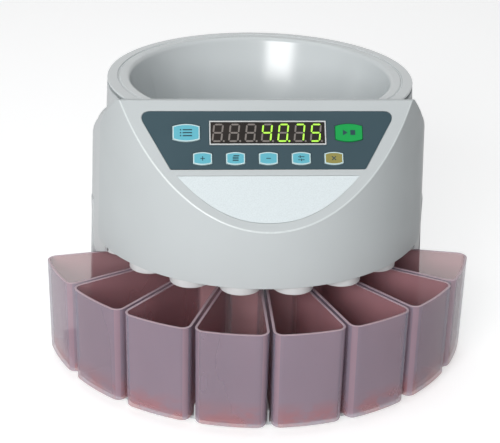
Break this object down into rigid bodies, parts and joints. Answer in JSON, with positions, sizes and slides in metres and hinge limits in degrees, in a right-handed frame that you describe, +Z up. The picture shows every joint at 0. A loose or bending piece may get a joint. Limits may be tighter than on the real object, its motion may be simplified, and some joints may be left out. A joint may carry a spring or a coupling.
{
  "type": "coin counter",
  "caption": "Desktop coin counter: round hopper with a turning disc, sloping face with display and keys, and a fan of lift-out coin cups under short spouts.",
  "frame": {"origin": "on the table, under the middle of the whole object", "axes": "+Z up, +X to the right as seen by the operator, front towards -Y; the round stack of hopper, disc and cups has its axis 12.4 mm behind the origin"},
  "size_m": [0.3436, 0.3298, 0.2313],
  "materials": {
    "body_plastic": "fine-textured light grey moulded plastic",
    "bowl_plastic": "smooth light grey moulded plastic",
    "spout_plastic": "plain near-white plastic",
    "cup_plastic": "polished smoky plum plastic",
    "overlay": "dark slate printed film",
    "trim_plate": "satin silver film",
    "display_frame": "light grey plastic",
    "display_window": "smoked clear window",
    "digit_display": "segment display block",
    "cyan_key": "light blue key",
    "green_key": "green key",
    "khaki_key": "olive key",
    "circuit_board": "green circuit board",
    "steel": "plain steel",
    "dark_plastic": "black plastic",
    "gear_plastic": "natural nylon",
    "rubber": "soft black rubber",
    "brass": "turned brass"
  },
  "bodies": {
    "housing": {"base_plate": "body_plastic", "base_screw_front_left": "steel", "base_screw_front_right": "steel", "base_screw_rear_left": "steel", "base_screw_rear_right": "steel", "foot_front_left": "rubber", "foot_front_right": "rubber", "foot_rear_left": "rubber", "foot_rear_right": "rubber", "lower_housing": "body_plastic", "upper_housing": "body_plastic", "front_cover": "body_plastic", "control_overlay": "overlay", "trim_plate": "trim_plate", "display_bezel": "display_frame", "display_window": "display_window", "digit_display": "digit_display", "key_board": "circuit_board", "hopper_bowl": "bowl_plastic", "sorting_ring": "steel", "chute_plate": "body_plastic", "spout_1": "spout_plastic", "spout_2": "spout_plastic", "spout_3": "spout_plastic", "spout_4": "spout_plastic", "spout_5": "spout_plastic", "spout_6": "spout_plastic", "spout_7": "spout_plastic", "spout_8": "spout_plastic", "gear_plate": "steel", "bearing_block": "brass", "drive_motor": "steel", "sensor_board": "circuit_board", "power_board": "circuit_board", "transformer": "dark_plastic", "rear_panel": "dark_plastic", "power_inlet": "dark_plastic", "switch_case": "dark_plastic"},
    "rotor": {"feed_disc": "steel", "sweeper": "dark_plastic", "disc_hub_cap": "dark_plastic", "disc_shaft": "steel", "drive_gear": "gear_plastic"},
    "pinion": {"motor_pinion": "brass"},
    "rocker": {"switch_rocker": "dark_plastic"},
    "cup_1": {"cup_1": "cup_plastic"},
    "cup_2": {"cup_2": "cup_plastic"},
    "cup_3": {"cup_3": "cup_plastic"},
    "cup_4": {"cup_4": "cup_plastic"},
    "cup_5": {"cup_5": "cup_plastic"},
    "cup_6": {"cup_6": "cup_plastic"},
    "cup_7": {"cup_7": "cup_plastic"},
    "cup_8": {"cup_8": "cup_plastic"},
    "key_report": {"key_report": "cyan_key"},
    "key_start": {"key_start": "green_key"},
    "key_plus": {"key_plus": "cyan_key"},
    "key_batch": {"key_batch": "cyan_key"},
    "key_minus": {"key_minus": "cyan_key"},
    "key_set": {"key_set": "cyan_key"},
    "key_clear": {"key_clear": "khaki_key"}
  },
  "joints": [
    {"name": "cup_1_slide", "type": "slide", "parent": "housing", "child": "cup_1", "axis": [-0.9288, -0.3706, 0], "range_m": [0, 0.105]},
    {"name": "cup_2_slide", "type": "slide", "parent": "housing", "child": "cup_2", "axis": [-0.7518, -0.6593, 0], "range_m": [0, 0.105]},
    {"name": "cup_3_slide", "type": "slide", "parent": "housing", "child": "cup_3", "axis": [-0.4886, -0.8725, 0], "range_m": [0, 0.105]},
    {"name": "cup_4_slide", "type": "slide", "parent": "housing", "child": "cup_4", "axis": [-0.1693, -0.9856, 0], "range_m": [0, 0.105]},
    {"name": "cup_5_slide", "type": "slide", "parent": "housing", "child": "cup_5", "axis": [0.1693, -0.9856, 0], "range_m": [0, 0.105]},
    {"name": "cup_6_slide", "type": "slide", "parent": "housing", "child": "cup_6", "axis": [0.4886, -0.8725, 0], "range_m": [0, 0.105]},
    {"name": "cup_7_slide", "type": "slide", "parent": "housing", "child": "cup_7", "axis": [0.7518, -0.6593, 0], "range_m": [0, 0.105]},
    {"name": "cup_8_slide", "type": "slide", "parent": "housing", "child": "cup_8", "axis": [0.9288, -0.3706, 0], "range_m": [0, 0.105]},
    {"name": "key_report_press", "type": "slide", "parent": "housing", "child": "key_report", "axis": [0, 0.7923, -0.6101], "range_m": [0, 0.0008], "stiffness_N_per_m": 300, "springref_m": -0.0005},
    {"name": "key_start_press", "type": "slide", "parent": "housing", "child": "key_start", "axis": [0, 0.7923, -0.6101], "range_m": [0, 0.0008], "stiffness_N_per_m": 300, "springref_m": -0.0005},
    {"name": "key_plus_press", "type": "slide", "parent": "housing", "child": "key_plus", "axis": [0, 0.7923, -0.6101], "range_m": [0, 0.0008], "stiffness_N_per_m": 300, "springref_m": -0.0005},
    {"name": "key_batch_press", "type": "slide", "parent": "housing", "child": "key_batch", "axis": [0, 0.7923, -0.6101], "range_m": [0, 0.0008], "stiffness_N_per_m": 300, "springref_m": -0.0005},
    {"name": "key_minus_press", "type": "slide", "parent": "housing", "child": "key_minus", "axis": [0, 0.7923, -0.6101], "range_m": [0, 0.0008], "stiffness_N_per_m": 300, "springref_m": -0.0005},
    {"name": "key_set_press", "type": "slide", "parent": "housing", "child": "key_set", "axis": [0, 0.7923, -0.6101], "range_m": [0, 0.0008], "stiffness_N_per_m": 300, "springref_m": -0.0005},
    {"name": "key_clear_press", "type": "slide", "parent": "housing", "child": "key_clear", "axis": [0, 0.7923, -0.6101], "range_m": [0, 0.0008], "stiffness_N_per_m": 300, "springref_m": -0.0005},
    {"name": "rotor_spin", "type": "hinge", "parent": "housing", "child": "rotor", "pos_m": [0, 0.0124, 0.1502], "axis": [0, 0, 1], "continuous": true},
    {"name": "pinion_spin", "type": "hinge", "parent": "housing", "child": "pinion", "pos_m": [0, 0.0508, 0.1436], "axis": [0, 0, 1], "continuous": true},
    {"name": "rocker_tilt", "type": "hinge", "parent": "housing", "child": "rocker", "pos_m": [-0.024, 0.15535, 0.054], "axis": [-1, 0, 0], "range_deg": [0, 16]}
  ],
  "couplings": [
    {"joint": "pinion_spin", "follows": "rotor_spin", "ratio": -3}
  ]
}
